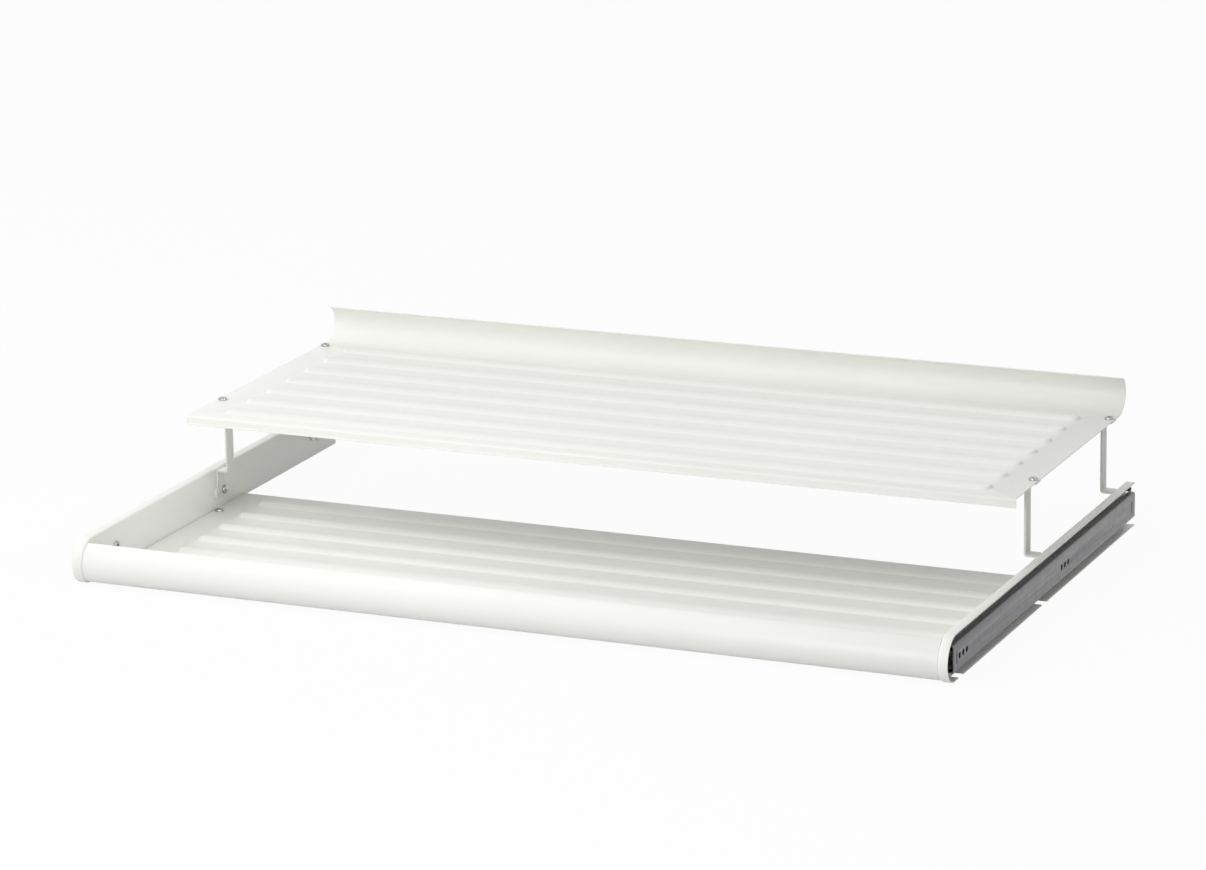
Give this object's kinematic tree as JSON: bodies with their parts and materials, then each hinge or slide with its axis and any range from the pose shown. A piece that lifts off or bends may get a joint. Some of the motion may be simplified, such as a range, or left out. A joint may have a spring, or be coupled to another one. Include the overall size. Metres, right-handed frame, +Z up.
{
  "type": "pull-out shoe rack",
  "caption": "Two-tier pressed-steel shoe tray with ribbed shelves, a rounded front rail and a raised shelf on bent legs, hung between two ball-bearing slides",
  "frame": {"origin": "under the middle of the rack, on the plane of its lowest flanges", "axes": "+X to the right seen from the front, +Y to the back of the wardrobe, +Z up"},
  "size_m": [0.929, 0.5744, 0.1576],
  "materials": {
    "white_powder_coat": "satin white powder coat with a fine orange-peel texture",
    "zinc_plated_steel": "bright zinc plate, faintly drawn along the rail",
    "retainer_steel": "thin zinc-plated strip",
    "ball_steel": "polished and lightly greased bearing steel",
    "plated_screws": "nickel-plated pan heads with cross recesses",
    "grey_plastic": "moulded polyoxymethylene, matt"
  },
  "bodies": {
    "cabinet_rails": {"left_cabinet_rail": "zinc_plated_steel", "right_cabinet_rail": "zinc_plated_steel"},
    "tray": {"front_rail": "white_powder_coat", "left_side_panel": "white_powder_coat", "right_side_panel": "white_powder_coat", "lower_shelf": "white_powder_coat", "upper_shelf": "white_powder_coat", "front_left_leg": "white_powder_coat", "front_right_leg": "white_powder_coat", "rear_left_leg": "white_powder_coat", "rear_right_leg": "white_powder_coat", "left_drawer_rail": "zinc_plated_steel", "right_drawer_rail": "zinc_plated_steel", "left_guide_plug": "grey_plastic", "right_guide_plug": "grey_plastic", "upper_shelf_screws": "plated_screws", "lower_shelf_screws": "plated_screws", "leg_screws": "plated_screws", "drawer_rail_screws": "plated_screws"},
    "left_retainer": {"left_ball_retainer": "retainer_steel", "left_bearing_balls": "ball_steel"},
    "right_retainer": {"right_ball_retainer": "retainer_steel", "right_bearing_balls": "ball_steel"}
  },
  "joints": [
    {"name": "tray_slide", "type": "slide", "parent": "cabinet_rails", "child": "tray", "axis": [0, -1, 0], "range_m": [0, 0.4]},
    {"name": "left_retainer_slide", "type": "slide", "parent": "cabinet_rails", "child": "left_retainer", "axis": [0, -1, 0], "range_m": [0, 0.2]},
    {"name": "right_retainer_slide", "type": "slide", "parent": "cabinet_rails", "child": "right_retainer", "axis": [0, -1, 0], "range_m": [0, 0.2]}
  ],
  "couplings": [
    {"joint": "left_retainer_slide", "follows": "tray_slide", "ratio": 0.5},
    {"joint": "right_retainer_slide", "follows": "tray_slide", "ratio": 0.5}
  ]
}
